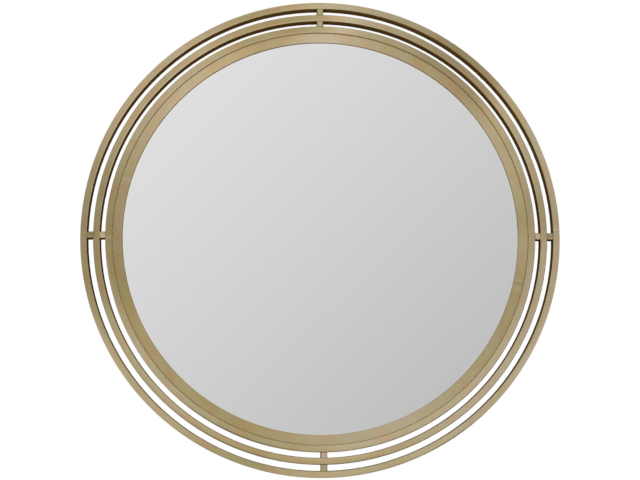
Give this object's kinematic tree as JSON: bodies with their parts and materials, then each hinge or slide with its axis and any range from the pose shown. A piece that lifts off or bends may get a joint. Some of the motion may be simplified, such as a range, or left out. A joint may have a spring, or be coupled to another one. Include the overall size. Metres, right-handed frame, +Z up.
{
  "type": "round wall mirror",
  "caption": "Round wall mirror: concentric open hoops of brushed brass-coloured tube joined by short spacers round a mirror glass, with a clipped backing board and D-ring hangers.",
  "frame": {"origin": "centre of the mirror on the plane of the wall, which the four bumpers touch", "axes": "+Z up as hung, +Y into the wall, the glass faces -Y, +X to the right as seen from the front"},
  "size_m": [0.9144, 0.0304, 0.9144],
  "materials": {
    "brushed_brass": "brushed, plated pale antique brass, satin",
    "mirror": "polished, ground edge",
    "foam": "closed-cell foam, matte",
    "fibreboard": "raw medium-density fibreboard, matte",
    "rubber": "moulded rubber, matte",
    "zinc_plate": "zinc plated, satin",
    "ring_steel": "nickel plated wire",
    "screw_steel": "zinc plated, satin"
  },
  "bodies": {
    "frame": {"outer_hoop": "brushed_brass", "middle_hoop": "brushed_brass", "inner_hoop": "brushed_brass", "outer_spacer_right": "brushed_brass", "inner_spacer_right": "brushed_brass", "outer_spacer_top": "brushed_brass", "inner_spacer_top": "brushed_brass", "outer_spacer_left": "brushed_brass", "inner_spacer_left": "brushed_brass", "outer_spacer_bottom": "brushed_brass", "inner_spacer_bottom": "brushed_brass", "lip_lower_half": "brushed_brass", "lip_upper_half": "brushed_brass", "bedding_tape": "foam", "foam_sheet": "foam", "mirror_glass": "mirror", "backing_board": "fibreboard", "setting_block_left": "rubber", "setting_block_right": "rubber", "retaining_clip_1": "zinc_plate", "retaining_clip_2": "zinc_plate", "retaining_clip_3": "zinc_plate", "retaining_clip_4": "zinc_plate", "retaining_clip_5": "zinc_plate", "retaining_clip_6": "zinc_plate", "retaining_clip_7": "zinc_plate", "retaining_clip_8": "zinc_plate", "clip_screws": "screw_steel", "hanger_screws_left": "screw_steel", "hanger_screws_right": "screw_steel", "hanger_strap_left": "zinc_plate", "hanger_strap_right": "zinc_plate", "wall_bumper_1": "rubber", "wall_bumper_2": "rubber", "wall_bumper_3": "rubber", "wall_bumper_4": "rubber"},
    "ring_left": {"d_ring_left": "ring_steel"},
    "ring_right": {"d_ring_right": "ring_steel"}
  },
  "joints": [
    {"name": "d_ring_left_swing", "type": "hinge", "parent": "frame", "child": "ring_left", "pos_m": [-0.23961, -0.00692, 0.23139], "axis": [-1, 0, 0], "range_deg": [0, 176]},
    {"name": "d_ring_right_swing", "type": "hinge", "parent": "frame", "child": "ring_right", "pos_m": [0.23961, -0.00692, 0.23139], "axis": [-1, 0, 0], "range_deg": [0, 176]}
  ]
}
